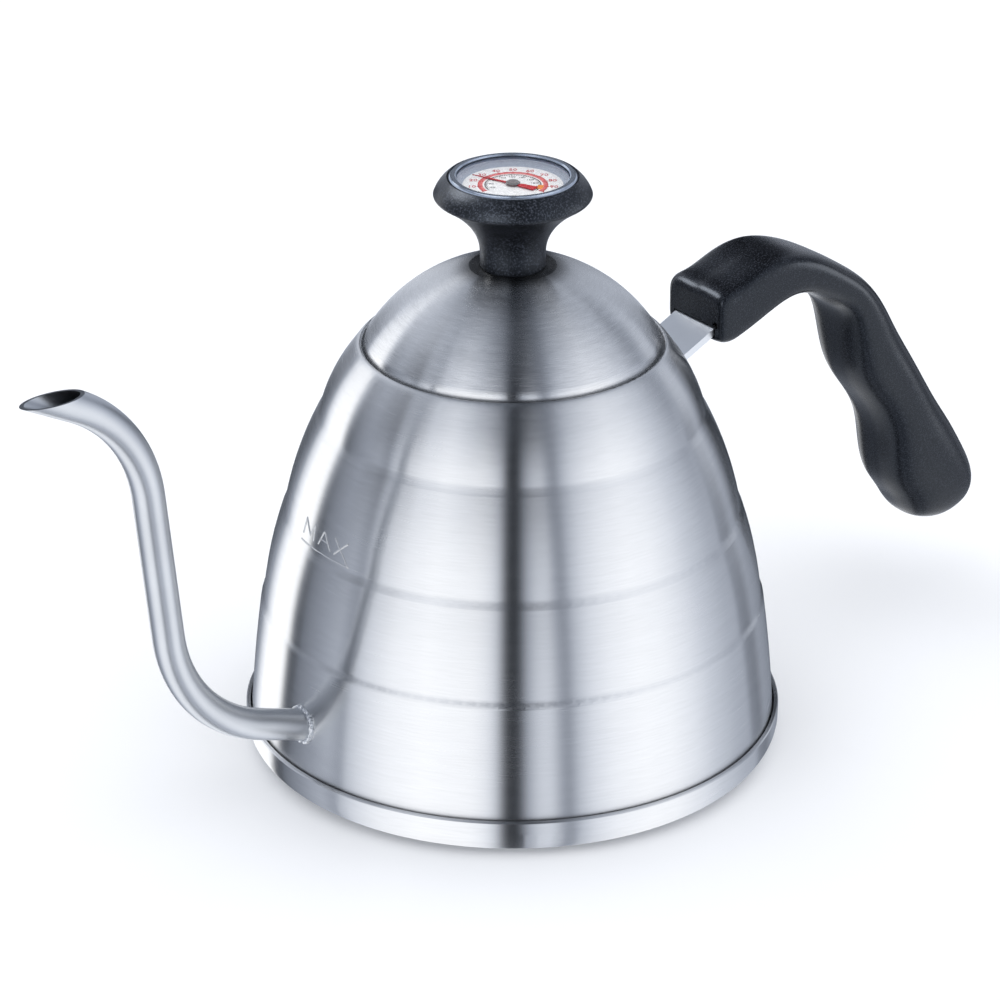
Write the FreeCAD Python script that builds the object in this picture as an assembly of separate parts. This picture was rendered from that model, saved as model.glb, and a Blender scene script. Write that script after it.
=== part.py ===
"""Gooseneck pour-over kettle with a thermometer in its lid knob.

Millimetres. The kettle's axis is Z and it stands on Z = 0. The spout points along -X and
the handle along +X. Every separate piece is written to parts/NODE.step.
"""
import FreeCAD, Part
import math
import os

# ---- driving dimensions -------------------------------------------------------------------
WALL = 0.7                    # body and lid sheet
GAP = 0.05                    # fit between pieces that are screwed or pushed together
CUTTER = 120.0                # side of a box that cuts everything past a plane

# Body wall, outside: (radius, height) at the ends of each drawn band, and how far it bulges.
BODY_BANDS = [
    ((72.4, 4.7), (68.9, 41.4), 0.38),
    ((68.0, 43.8), (62.85, 67.2), 0.63),
    ((61.75, 69.8), (53.05, 95.1), 0.92),
    ((51.8, 97.5), (44.3, 112.6), 0.78),
]
STEP_REACH = 0.4              # softness of the step between two bands, as a share of its length
CROWN_Z = 116.4               # top of the rolled mouth
CROWN_R = 40.95
NECK_REACH = 2.4              # softness of the turn from the neck to the crown, at both ends
CROWN_REACH = 0.8
FOLD_Z = 115.5                # inner end of the fold
FOLD_RISE = 0.15
LIP_EDGE = 0.6                # rounded inner edge of the lip
LIP_R = 40.35                 # inside of the turned-down lip
SEAT_Z = 114.1                # ledge that the lid rests on
MOUTH_R = 38.75               # clear mouth

CAP_R = 73.7                  # pressed cap round the base
CAP_TOP_Z = 10.5
CAP_SIDE_Z = 7.4              # the cap's side is upright above this
CAP_FOOT_R = 67.4             # flat that stands on the table
CAP_TURN_RISE = 1.9
CAP_SHEET = 0.6
CAP_LIP = 1.15                # thickness of the turned-in top edge
CAP_BEVEL = 0.3
CORE_Z = (0.6, 4.0)           # aluminium heat spreader
FLOOR_Z = (4.0, 4.7)          # inside floor
FLOOR_R = 71.7

SPOUT_R = 4.3
SPOUT_BORE_R = 3.7
SPOUT_START = (-70.9, 23.5)   # where the spout's axis leaves the wall
SPOUT_RISE = 18.5             # degrees above level at the root
SPOUT_LEAN = 6.0              # degrees off upright in the riser
SPOUT_TIP_RISE = 28.0         # degrees above level at the tip
SPOUT_ELBOW_X = -109.3        # where the root line meets the riser's line
SPOUT_CREST_Z = 124.7         # where the riser's line meets the tip's line
SPOUT_ELBOW_R = 41.0
SPOUT_CREST_R = 39.0
SPOUT_CUT_Z = 137.8           # the tip is cut level
SPOUT_REACH = 40.0            # length of the tip's line before it is cut
SPOUT_ROOT_DEPTH = 2.6        # how far the tube starts inside the wall
SPOUT_HOLE_REACH = 8.0        # the hole for it is cut this far to both sides of the wall
WELD_R = 0.75
WELD_OFFSET = 0.15            # bead centre line outside the tube's skin

STRAP_W = 16.6
STRAP_T = 2.0
STRAP_PATH = [(49.9, 98.8), (70.0, 108.5), (96.0, 114.3)]
STRAP_FOOT_Z = (79.0, 99.5)
STRAP_FOOT_X = (40.0, 70.0)   # the foot lies on the wall between these
STRAP_SLOT_GAP = 0.15
SLOT_MOUTH_GAP = 0.55         # the slot is wider at its mouth
SLOT_MOUTH_X = 66.5           # as far in as this
SLOT_NOTCH_R = 1.0            # round relief at one end of the mouth
SLOT_NOTCH_X = 60.0           # where the relief starts, outside the grip
STRAP_WELD_T = 1.0
STRAP_WELD_W = 1.2
STRAP_WELD_Z = (80.0, 97.5)

SCREW_X = (75.0, 85.0)
SCREW_START = 6.0             # a screw's axis starts this far below the strap's centre line
SCREW_SEATS = (3.2, 3.7)      # head seats above that start
SCREW_TIP = 10.2
SCREW_R = 2.0
SCREW_HEAD_R = 3.6
SCREW_HEAD_T = 1.5
SCREW_CROSS = (4.2, 0.8, 0.9)  # cross recess: length, width, depth
SCREW_TIP_GAP = 0.3
POCKET_GAP = 0.2              # round the head
POCKET_DEPTH = 20.0           # more than the grip has

LID_R = 39.6
LID_DOME_R = 46.5
LID_TOP_Z = 139.8             # apex of the dome's arc, above the flat that carries the knob
LID_SHOULDER_R = 4.0
LID_PAD_Z = 138.3
LID_EDGE_Z = 114.2
SKIRT_R = 38.4
SKIRT_T = 0.5
SKIRT_Z = (104.0, 115.5)

GASKET_T = 0.5
KNOB_FOOT_Z = LID_PAD_Z + GASKET_T
KNOB_FOOT_R = 8.75
KNOB_WAIST = (8.8, 142.5)
KNOB_WAIST_REACH = 7.5
KNOB_UNDER = (20.1, 157.3)    # outer end of the flare
KNOB_UNDER_REACH = 4.0
KNOB_FLARE_WAY = (0.848, 0.53)
KNOB_WIDEST = (21.05, 158.6)
KNOB_EDGE_REACH = 0.55        # of the rounded edge between them
KNOB_BULGE = 0.45             # of the slope from the widest ring up to the rim
KNOB_CUP_R = 16.3
RIM_Z = 163.4                 # top of the knob, round the bezel
RIM_R = 17.5
BEZEL_SEAT_Z = 162.6          # step in the knob that carries the bezel
KNOB_CUP_Z = 156.6
CASE_R = 16.2
CASE_T = 0.5
CASE_TOP_Z = 162.6
DIAL_Z = 159.5
DIAL_T = 0.4
DIAL_R = 15.2
DIAL_FACE_R = 13.3            # what the sloped ring leaves to see
DIAL_SPACER_R = 12.5          # inside of the spacer under the dial
LENS_Z = (161.9, 163.5)
LENS_R = 15.6
BEZEL_R = 17.0
BEZEL_TOP_Z = 163.9
BEZEL_INNER_R = 15.0
BEZEL_BEVEL = 0.3             # inner edge
BEZEL_TURN = 0.7              # outer edge

STUD_R = 4.0
STUD_BORE_R = 2.3
STUD_Z = (129.5, 150.0)
NUT_FLATS = 11.0
NUT_T = 4.0
WASHER_R = 8.0
WASHER_T = 0.8
KNOB_GASKET_R = 8.4

PROBE_R = 2.0
PROBE_BORE_R = 1.6
PROBE_TIP_Z = 24.0
PROBE_TOP_Z = 158.6
PROBE_TIP_T = 1.2
FERRULE_R = 3.6
BUSH_Z = (152.8, 157.8)
ANCHOR_TOP_Z = 27.6
COIL_Z = 28.0
COIL_LENGTH = 24.0
COIL_PITCH = 1.5
COIL_R = 1.2
COIL_WIRE_R = 0.18
SHAFT_R = 0.5
SHAFT_FOOT_Z = 31.0
SHAFT_CLEARANCE = 0.05
POINTER_Z = 160.1
POINTER_T = 0.25
POINTER_ANGLE = 110.9         # degrees from +X towards +Y
POINTER_REACH = 12.6
POINTER_TAIL = 6.9
POINTER_HALF = [(1.0, 0.42), (-1.6, 0.55), (-2.6, 1.0), (-POINTER_TAIL, 1.25)]
POINTER_BOSS_R = 1.4
HUB_R = 1.9
HUB_T = 0.55

# Grip sections: centre (x, z), tilt of the depth axis from +Z towards +X in degrees,
# half depth, half width and squareness of the outline.
GRIP_SECTIONS = [
    (63.3, 109.0, 0, 5.3, 10.2, 6.5),
    (63.8, 109.0, -1, 6.3, 11.2, 6.5),
    (65.0, 109.1, -4, 7.2, 11.6, 6.5),
    (69.3, 109.9, -10, 7.8, 11.7, 6.0),
    (79.2, 113.6, -14, 7.6, 11.7, 5.6),
    (88.9, 115.8, -5, 6.8, 11.7, 5.0),
    (98.8, 113.8, 17, 5.9, 11.6, 3.8),
    (107.6, 109.0, 37, 5.7, 11.4, 3.2),
    (115.3, 103.4, 47, 5.9, 11.3, 2.8),
    (120.7, 94.7, 54, 8.1, 11.3, 2.5),
    (125.5, 83.5, 57, 10.2, 11.4, 2.35),
    (133.2, 71.7, 58.5, 10.1, 11.3, 2.3),
    (138.05, 63.25, 60, 10.5, 11.3, 2.3),
    (141.5, 54.9, 62, 12.2, 11.5, 2.35),
    (145.4, 46.4, 63, 13.9, 11.7, 2.4),
    (150.4, 38.6, 64, 13.8, 11.6, 2.4),
    (154.3, 32.2, 67, 13.4, 11.2, 2.4),
    (157.0, 28.0, 69, 11.8, 10.2, 2.35),
    (158.7, 25.5, 70, 9.2, 8.4, 2.3),
    (159.5, 24.3, 70, 5.2, 5.0, 2.1),
]
GRIP_OUTLINE_POINTS = 36
GRIP_HOLE = (137.0, 33.6)     # blind drain hole in the grip's side
GRIP_HOLE_Y = -12.0           # its cutter starts here, outside the grip
GRIP_HOLE_R = 1.1
GRIP_HOLE_DEPTH = 5.0


# ---- helpers ------------------------------------------------------------------------------
def vec(x, y, z):
    return FreeCAD.Vector(x, y, z)


def rz(point):
    """A point of a profile in the XZ plane."""
    return vec(point[0], 0, point[1])


def line(a, b):
    return Part.LineSegment(rz(a), rz(b)).toShape()


def along(point, direction, length):
    return (point[0] + direction[0] * length, point[1] + direction[1] * length)


def blend(a, way_out, reach_out, b, way_in, reach_in):
    """A curve that leaves a and arrives at b in the given directions."""
    curve = Part.BezierCurve()
    curve.setPoles([rz(a), rz(along(a, way_out, reach_out)), rz(along(b, way_in, -reach_in)), rz(b)])
    return curve.toShape()


def bulged(a, b, rise):
    """An arc from a to b that stands off its chord, to the left when going from a to b."""
    dx = b[0] - a[0]
    dz = b[1] - a[1]
    length = math.hypot(dx, dz)
    middle = ((a[0] + b[0]) / 2 - dz / length * rise, (a[1] + b[1]) / 2 + dx / length * rise)
    return Part.Arc(rz(a), rz(middle), rz(b)).toShape()


def revolve(edges):
    """A solid of revolution about Z from the closed outline's edges."""
    face = Part.Face(Part.Wire(Part.__sortEdges__(edges)))
    return face.revolve(vec(0, 0, 0), vec(0, 0, 1), 360)


def revolve_points(points):
    loop = list(points) + [points[0]]
    return revolve([line(a, b) for a, b in zip(loop, loop[1:])])


def tube(r_out, r_in, z0, z1):
    outer = Part.makeCylinder(r_out, z1 - z0, vec(0, 0, z0))
    if not r_in:
        return outer
    return outer.cut(Part.makeCylinder(r_in, z1 - z0, vec(0, 0, z0)))


def save(shape, name):
    shape.exportStep("parts/%s.step" % name)
    size = shape.optimalBoundingBox(False)
    print("%-16s solids %d valid %s volume %9.1f  x %.1f..%.1f y %.1f..%.1f z %.1f..%.1f" % (
        name, len(shape.Solids), shape.isValid(), shape.Volume,
        size.XMin, size.XMax, size.YMin, size.YMax, size.ZMin, size.ZMax))


# ---- body ---------------------------------------------------------------------------------
def band_way(low, high, rise, end):
    """The direction up a band's arc, at its foot (end -1) or its top (end 1)."""
    chord = math.atan2(high[1] - low[1], high[0] - low[0])
    turn = 2 * math.atan(2 * rise / math.dist(low, high))
    return (math.cos(chord + end * turn), math.sin(chord + end * turn))


def body_wall(offset):
    """The drawn wall from base to mouth, moved outwards by offset: edges and both ends."""
    edges = []
    last = None
    for low, high, rise in BODY_BANDS:
        a = (low[0] + offset, low[1])
        b = (high[0] + offset, high[1])
        if last:
            reach = STEP_REACH * math.dist(last, a)
            edges.append(blend(last, way_up, reach, a, band_way(low, high, rise, -1), reach))
        edges.append(bulged(a, b, -rise))
        last = b
        way_up = band_way(low, high, rise, 1)
    return edges, (BODY_BANDS[0][0][0] + offset, BODY_BANDS[0][0][1]), last


def body_profile():
    outer, foot_out, neck_out = body_wall(0)
    inner, foot_in, neck_in = body_wall(-WALL)
    neck_way = band_way(*BODY_BANDS[-1], 1)
    crown = (CROWN_R, CROWN_Z)
    lip = (LIP_R, CROWN_Z - LIP_EDGE)
    fold_r = LIP_R + WALL
    edges = outer + inner
    edges.append(blend(neck_out, neck_way, NECK_REACH, crown, (-1, 0), CROWN_REACH))
    edges.append(bulged(crown, lip, -LIP_EDGE * 0.3))
    edges.append(line(lip, (LIP_R, SEAT_Z)))
    edges.append(line((LIP_R, SEAT_Z), (MOUTH_R, SEAT_Z)))
    edges.append(line((MOUTH_R, SEAT_Z), (MOUTH_R, SEAT_Z - WALL)))
    edges.append(line((MOUTH_R, SEAT_Z - WALL), (fold_r, SEAT_Z - WALL)))
    edges.append(line((fold_r, SEAT_Z - WALL), (fold_r, FOLD_Z)))
    edges.append(bulged((fold_r, FOLD_Z), neck_in, FOLD_RISE))
    edges.append(line(foot_in, foot_out))
    return edges


def wall_solid(offset):
    """Everything inside the wall's outer face, moved outwards by offset."""
    outer, foot, neck = body_wall(offset)
    edges = outer + [line(neck, (0, neck[1])), line((0, neck[1]), (0, foot[1]))]
    edges.append(line((0, foot[1]), foot))
    return revolve(edges)


def body_shell():
    return revolve(body_profile()).cut(spout_root_cutter(SPOUT_R + GAP))


# ---- base ---------------------------------------------------------------------------------
def base_cap():
    low_out = (CAP_FOOT_R, 0)
    side_out = (CAP_R, CAP_SIDE_Z)
    side_in = (CAP_R - CAP_SHEET, CAP_SIDE_Z)
    low_in = (CAP_FOOT_R, CAP_SHEET)
    edges = [
        line((0, 0), low_out),
        bulged(low_out, side_out, -CAP_TURN_RISE),
        line(side_out, (CAP_R, CAP_TOP_Z - CAP_BEVEL)),
        line((CAP_R, CAP_TOP_Z - CAP_BEVEL), (CAP_R - CAP_BEVEL, CAP_TOP_Z)),
        line((CAP_R - CAP_BEVEL, CAP_TOP_Z), (CAP_R - CAP_LIP, CAP_TOP_Z)),
        line((CAP_R - CAP_LIP, CAP_TOP_Z), side_in),
        bulged(side_in, low_in, CAP_TURN_RISE * 0.9),
        line(low_in, (0, CAP_SHEET)),
        line((0, CAP_SHEET), (0, 0)),
    ]
    return revolve(edges)


def base_core():
    return revolve_points([(0, CORE_Z[0]), (CAP_FOOT_R - 0.5, CORE_Z[0]),
                           (CAP_FOOT_R + 3.4, CORE_Z[1]), (0, CORE_Z[1])])


def inside_floor():
    return tube(FLOOR_R, 0, FLOOR_Z[0], FLOOR_Z[1])


# ---- spout --------------------------------------------------------------------------------
def unit(degrees_up):
    """A direction in the XZ plane that points along -X and rises by the given angle."""
    angle = math.radians(degrees_up)
    return (-math.cos(angle), math.sin(angle))


def corner_arc(corner, before, after, radius):
    """The arc that rounds a corner between two directions, with its two tangent points."""
    turn = math.acos(before[0] * after[0] + before[1] * after[1])
    reach = radius * math.tan(turn / 2)
    start = along(corner, before, -reach)
    end = along(corner, after, reach)
    inward = (after[0] - before[0], after[1] - before[1])
    size = math.hypot(inward[0], inward[1])
    stand_off = radius / math.cos(turn / 2) - radius
    middle = along(corner, (inward[0] / size, inward[1] / size), stand_off)
    return start, middle, end


def spout_route():
    root_dir = unit(SPOUT_RISE)
    riser_dir = unit(90 - SPOUT_LEAN)
    tip_dir = unit(SPOUT_TIP_RISE)
    run = (SPOUT_ELBOW_X - SPOUT_START[0]) / root_dir[0]
    elbow = along(SPOUT_START, root_dir, run)
    crest = along(elbow, riser_dir, (SPOUT_CREST_Z - elbow[1]) / riser_dir[1])
    bend1 = corner_arc(elbow, root_dir, riser_dir, SPOUT_ELBOW_R)
    bend2 = corner_arc(crest, riser_dir, tip_dir, SPOUT_CREST_R)
    return bend1, bend2, root_dir, tip_dir


def spout_path():
    bend1, bend2, root_dir, tip_dir = spout_route()
    root = along(SPOUT_START, root_dir, -SPOUT_ROOT_DEPTH)
    end = along(bend2[2], tip_dir, SPOUT_REACH)
    return Part.Wire([
        line(root, bend1[0]),
        Part.Arc(rz(bend1[0]), rz(bend1[1]), rz(bend1[2])).toShape(),
        line(bend1[2], bend2[0]),
        Part.Arc(rz(bend2[0]), rz(bend2[1]), rz(bend2[2])).toShape(),
        line(bend2[2], end),
    ]), root, root_dir


def swept(path, start, direction, radius):
    circle = Part.Wire([Part.makeCircle(radius, rz(start), rz(direction))])
    return path.makePipeShell([circle], True, True)


def spout_tube():
    path, root, root_dir = spout_path()
    outer = swept(path, root, root_dir, SPOUT_R)
    bore = swept(path, root, root_dir, SPOUT_BORE_R)
    above = Part.makeBox(CUTTER, CUTTER, CUTTER, vec(-2 * CUTTER, -CUTTER / 2, SPOUT_CUT_Z))
    return outer.cut(bore).cut(above)


def spout_root_cutter(radius):
    root_dir = unit(SPOUT_RISE)
    start = along(SPOUT_START, root_dir, -SPOUT_HOLE_REACH)
    return Part.makeCylinder(radius, 2 * SPOUT_HOLE_REACH, rz(start), rz(root_dir))


def spout_weld():
    """A bead in the corner between the spout and the wall."""
    low, high, _ = BODY_BANDS[0]
    lean = math.degrees(math.atan2(low[0] - high[0], high[1] - low[1]))
    bead = Part.makeTorus(SPOUT_R + WELD_OFFSET, WELD_R, rz(SPOUT_START), rz(unit(lean)))
    return bead.cut(wall_solid(0)).cut(spout_root_cutter(SPOUT_R))


# ---- handle -------------------------------------------------------------------------------
def strap_outline(extra):
    """The strap's bent centre line thickened to a closed outline."""
    half = STRAP_T / 2 + extra
    above = []
    below = []
    count = len(STRAP_PATH)
    for index, point in enumerate(STRAP_PATH):
        before = STRAP_PATH[max(index - 1, 0)]
        after = STRAP_PATH[min(index + 1, count - 1)]
        angle = math.atan2(after[1] - before[1], after[0] - before[0])
        normal = (-math.sin(angle), math.cos(angle))
        above.append(along(point, normal, half))
        below.append(along(point, normal, -half))
    return above + below[::-1]


def strap_arm(extra):
    half = STRAP_W / 2 + extra
    outline = strap_outline(extra)
    loop = outline + [outline[0]]
    wire = Part.Wire([line(a, b) for a, b in zip(loop, loop[1:])])
    arm = Part.Face(wire).extrude(vec(0, 2 * half, 0))
    arm.translate(vec(0, -half, 0))
    return arm


def handle_bracket():
    x0, x1 = STRAP_FOOT_X
    z0, z1 = STRAP_FOOT_Z
    window = Part.makeBox(x1 - x0, STRAP_W, z1 - z0, vec(x0, -STRAP_W / 2, z0))
    foot = wall_solid(STRAP_T).common(window)
    bracket = foot.fuse(strap_arm(0)).cut(wall_solid(0))
    for hole in screw_axes():
        bracket = bracket.cut(Part.makeCylinder(SCREW_R + GAP, 2 * SCREW_START, hole[0], hole[1]))
    return bracket.removeSplitter()


def bracket_weld():
    """Beads down both sides of the strap's foot."""
    x0, x1 = STRAP_FOOT_X
    z0, z1 = STRAP_WELD_Z
    ring = wall_solid(STRAP_WELD_T)
    beads = []
    for low in (-STRAP_W / 2 - STRAP_WELD_W, STRAP_W / 2):
        window = Part.makeBox(x1 - x0, STRAP_WELD_W, z1 - z0, vec(x0, low, z0))
        beads.append(ring.common(window).cut(wall_solid(0)))
    return Part.makeCompound(beads)


def grip_section(x, z, tilt, depth, width, square):
    angle = math.radians(tilt)
    points = []
    for step in range(GRIP_OUTLINE_POINTS):
        turn = 2 * math.pi * step / GRIP_OUTLINE_POINTS
        c = math.cos(turn)
        s = math.sin(turn)
        up = math.copysign(abs(c) ** (2 / square), c) * depth
        across = math.copysign(abs(s) ** (2 / square), s) * width
        points.append(vec(x + up * math.sin(angle), across, z + up * math.cos(angle)))
    curve = Part.BSplineCurve()
    curve.interpolate(Points=points, PeriodicFlag=True)
    return Part.Wire([curve.toShape()])


def strap_slope():
    a, b = STRAP_PATH[1], STRAP_PATH[2]
    return math.atan2(b[1] - a[1], b[0] - a[0])


def screw_axes():
    """A point well below the strap and the upward direction, for each screw."""
    slope = strap_slope()
    up = vec(-math.sin(slope), 0, math.cos(slope))
    axes = []
    for x in SCREW_X:
        z = STRAP_PATH[1][1] + (x - STRAP_PATH[1][0]) * math.tan(slope)
        axes.append((vec(x, 0, z) - up * SCREW_START, up))
    return axes


def slot_mouth():
    """The wider mouth of the strap's slot, with a round relief at its near end."""
    window = Part.makeBox(CUTTER, CUTTER, 2 * CUTTER, vec(SLOT_MOUTH_X - CUTTER, -CUTTER / 2, 0))
    mouth = strap_arm(SLOT_MOUTH_GAP).common(window)
    length = SLOT_MOUTH_X - SLOT_NOTCH_X
    corner = vec(SLOT_NOTCH_X, -STRAP_W / 2 - SLOT_MOUTH_GAP, STRAP_PATH[1][1] - STRAP_T / 2)
    return mouth.fuse(Part.makeCylinder(SLOT_NOTCH_R, length, corner, vec(1, 0, 0)))


def handle_grip():
    grip = Part.makeLoft([grip_section(*row) for row in GRIP_SECTIONS], True, False)
    grip = grip.cut(strap_arm(STRAP_SLOT_GAP)).cut(slot_mouth())
    for (start, up), seat in zip(screw_axes(), SCREW_SEATS):
        grip = grip.cut(Part.makeCylinder(SCREW_R + 2 * GAP, SCREW_TIP + SCREW_TIP_GAP, start, up))
        mouth = start + up * (seat - POCKET_DEPTH)
        grip = grip.cut(Part.makeCylinder(SCREW_HEAD_R + POCKET_GAP, POCKET_DEPTH, mouth, up))
    side = vec(GRIP_HOLE[0], GRIP_HOLE_Y, GRIP_HOLE[1])
    return grip.cut(Part.makeCylinder(GRIP_HOLE_R, GRIP_HOLE_DEPTH, side, vec(0, 1, 0)))


def grip_screws():
    """Pan head screws with a cross recess, up through the grip into the strap."""
    length, width, depth = SCREW_CROSS
    screws = []
    for (start, up), level in zip(screw_axes(), SCREW_SEATS):
        seat = start + up * level
        face = seat - up * SCREW_HEAD_T
        head = Part.makeCylinder(SCREW_HEAD_R, SCREW_HEAD_T, face, up)
        shank = Part.makeCylinder(SCREW_R, SCREW_TIP - level, seat, up)
        cross = Part.makeBox(length, width, depth, vec(-length / 2, -width / 2, 0))
        cross = cross.fuse(Part.makeBox(width, length, depth, vec(-width / 2, -length / 2, 0)))
        cross.Placement = FreeCAD.Placement(face, FreeCAD.Rotation(vec(0, 0, 1), up))
        screws.append(head.fuse(shank).cut(cross).removeSplitter())
    return Part.makeCompound(screws)


# ---- lid ----------------------------------------------------------------------------------
def lid_arc_points(inset):
    """Where the dome, its shoulder and its upright edge meet, for the outer or inner face."""
    dome = LID_DOME_R - inset
    shoulder = LID_SHOULDER_R - inset
    side = LID_R - inset
    centre_z = LID_TOP_Z - LID_DOME_R
    shoulder_x = LID_R - LID_SHOULDER_R
    shoulder_z = centre_z + math.sqrt((LID_DOME_R - LID_SHOULDER_R) ** 2 - shoulder_x ** 2)
    angle = math.atan2(shoulder_x, shoulder_z - centre_z)
    pad_z = LID_PAD_Z - inset
    pad_r = math.sqrt(dome ** 2 - (pad_z - centre_z) ** 2)
    join = (dome * math.sin(angle), centre_z + dome * math.cos(angle))
    half = angle / 2 + math.asin(pad_r / dome) / 2
    crest = (dome * math.sin(half), centre_z + dome * math.cos(half))
    bend = (angle + math.pi / 2) / 2
    corner = (shoulder_x + shoulder * math.sin(bend), shoulder_z + shoulder * math.cos(bend))
    return (pad_r, pad_z), crest, join, corner, (side, shoulder_z)


def lid_dome():
    pad_o, crest_o, join_o, corner_o, side_o = lid_arc_points(0)
    pad_i, crest_i, join_i, corner_i, side_i = lid_arc_points(WALL)
    hole_r = STUD_R + GAP
    edges = [
        line((hole_r, pad_o[1]), pad_o),
        Part.Arc(rz(pad_o), rz(crest_o), rz(join_o)).toShape(),
        Part.Arc(rz(join_o), rz(corner_o), rz(side_o)).toShape(),
        line(side_o, (LID_R, LID_EDGE_Z)),
        line((LID_R, LID_EDGE_Z), (LID_R - WALL, LID_EDGE_Z)),
        line((LID_R - WALL, LID_EDGE_Z), side_i),
        Part.Arc(rz(side_i), rz(corner_i), rz(join_i)).toShape(),
        Part.Arc(rz(join_i), rz(crest_i), rz(pad_i)).toShape(),
        line(pad_i, (hole_r, pad_i[1])),
        line((hole_r, pad_i[1]), (hole_r, pad_o[1])),
    ]
    return revolve(edges)


def lid_skirt():
    """The plug ring under the lid, with a hem at its foot and a flange against the dome's edge."""
    z0, z1 = SKIRT_Z
    inner = SKIRT_R - SKIRT_T
    flange_r = LID_R - WALL
    return revolve_points([
        (inner - 0.5, z0), (SKIRT_R - 0.3, z0), (SKIRT_R, z0 + 0.6), (SKIRT_R, z1 - 1.3),
        (flange_r, z1 - 1.2), (flange_r, z1), (flange_r - SKIRT_T, z1),
        (flange_r - SKIRT_T, z1 - 0.7), (inner, z1 - 0.8), (inner, z0 + 1.0), (inner - 0.5, z0 + 0.7),
    ])


def knob():
    bore_r = STUD_R + GAP
    foot = (KNOB_FOOT_R, KNOB_FOOT_Z)
    rim = (RIM_R, RIM_Z)
    edges = [
        line((bore_r, KNOB_FOOT_Z), foot),
        line(foot, KNOB_WAIST),
        blend(KNOB_WAIST, (0, 1), KNOB_WAIST_REACH, KNOB_UNDER, KNOB_FLARE_WAY, KNOB_UNDER_REACH),
        blend(KNOB_UNDER, KNOB_FLARE_WAY, KNOB_EDGE_REACH, KNOB_WIDEST, (0, 1), KNOB_EDGE_REACH),
        bulged(KNOB_WIDEST, rim, -KNOB_BULGE),
        line(rim, (BEZEL_R + GAP, RIM_Z)),
        line((BEZEL_R + GAP, RIM_Z), (BEZEL_R + GAP, BEZEL_SEAT_Z)),
        line((BEZEL_R + GAP, BEZEL_SEAT_Z), (KNOB_CUP_R, BEZEL_SEAT_Z)),
        line((KNOB_CUP_R, BEZEL_SEAT_Z), (KNOB_CUP_R, KNOB_CUP_Z)),
        line((KNOB_CUP_R, KNOB_CUP_Z), (STUD_BORE_R, KNOB_CUP_Z)),
        line((STUD_BORE_R, KNOB_CUP_Z), (STUD_BORE_R, STUD_Z[1])),
        line((STUD_BORE_R, STUD_Z[1]), (bore_r, STUD_Z[1])),
        line((bore_r, STUD_Z[1]), (bore_r, KNOB_FOOT_Z)),
    ]
    return revolve(edges)


def knob_nut():
    top = LID_PAD_Z - WALL - WASHER_T
    foot = top - NUT_T
    corner = NUT_FLATS / 2 / math.cos(math.radians(30))
    points = []
    for step in range(7):
        turn = math.radians(60 * step)
        points.append(vec(corner * math.cos(turn), corner * math.sin(turn), foot))
    prism = Part.Face(Part.makePolygon(points)).extrude(vec(0, 0, NUT_T))
    chamfered = revolve_points([(STUD_R + GAP, foot), (corner - 0.7, foot), (corner + 0.1, foot + 0.6),
                                (corner + 0.1, top), (STUD_R + GAP, top)])
    return prism.common(chamfered)


# ---- thermometer --------------------------------------------------------------------------
def thermometer_case():
    z0 = KNOB_CUP_Z
    cup = tube(CASE_R, CASE_R - CASE_T, z0, CASE_TOP_Z)
    return cup.fuse(tube(CASE_R, PROBE_R + GAP, z0, z0 + CASE_T)).removeSplitter()


def dial_ring():
    """The sloped ring between the dial and the lens."""
    z0 = DIAL_Z + DIAL_T
    z1 = LENS_Z[0] - GASKET_T
    side = CASE_R - CASE_T - GAP
    return revolve_points([(DIAL_FACE_R, z0), (side, z0), (side, z1), (14.9, z1), (14.8, z0 + 0.9)])


def bezel_ring():
    flat = (BEZEL_INNER_R + BEZEL_BEVEL, BEZEL_TOP_Z)
    shoulder = (BEZEL_R - BEZEL_TURN, BEZEL_TOP_Z)
    side = (BEZEL_R, BEZEL_TOP_Z - BEZEL_TURN)
    edges = [
        line((BEZEL_INNER_R, LENS_Z[1]), flat),
        line(flat, shoulder),
        bulged(shoulder, side, -BEZEL_TURN * 0.29),
        line(side, (BEZEL_R, BEZEL_SEAT_Z)),
        line((BEZEL_R, BEZEL_SEAT_Z), (KNOB_CUP_R, BEZEL_SEAT_Z)),
        line((KNOB_CUP_R, BEZEL_SEAT_Z), (KNOB_CUP_R, LENS_Z[1])),
        line((KNOB_CUP_R, LENS_Z[1]), (BEZEL_INNER_R, LENS_Z[1])),
    ]
    return revolve(edges)


def probe_tube():
    closed = tube(PROBE_R, PROBE_BORE_R, PROBE_TIP_Z + PROBE_TIP_T, PROBE_TOP_Z)
    tip = Part.makeCylinder(PROBE_R, PROBE_TIP_T, vec(0, 0, PROBE_TIP_Z))
    return closed.fuse(tip).removeSplitter()


def bimetal_coil():
    rise = COIL_PITCH / (2 * math.pi * COIL_R)
    section = Part.Wire([Part.makeCircle(COIL_WIRE_R, vec(COIL_R, 0, 0), vec(0, 1, rise))])
    helix = Part.makeHelix(COIL_PITCH, COIL_LENGTH, COIL_R)
    coil = Part.Wire(helix).makePipeShell([section], True, True)
    coil.translate(vec(0, 0, COIL_Z))
    return coil


def pointer():
    z0 = POINTER_Z
    near = [(x, -y) for x, y in POINTER_HALF]
    outline = [(POINTER_REACH, 0)] + near + POINTER_HALF[::-1]
    wire = Part.makePolygon([vec(x, y, z0) for x, y in outline + outline[:1]])
    blade = Part.Face(wire).extrude(vec(0, 0, POINTER_T))
    blade = blade.fuse(tube(POINTER_BOSS_R, 0, z0, z0 + POINTER_T))
    blade = blade.cut(Part.makeCylinder(SHAFT_R, POINTER_T, vec(0, 0, z0))).removeSplitter()
    blade.rotate(vec(0, 0, 0), vec(0, 0, 1), POINTER_ANGLE)
    return blade


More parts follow.
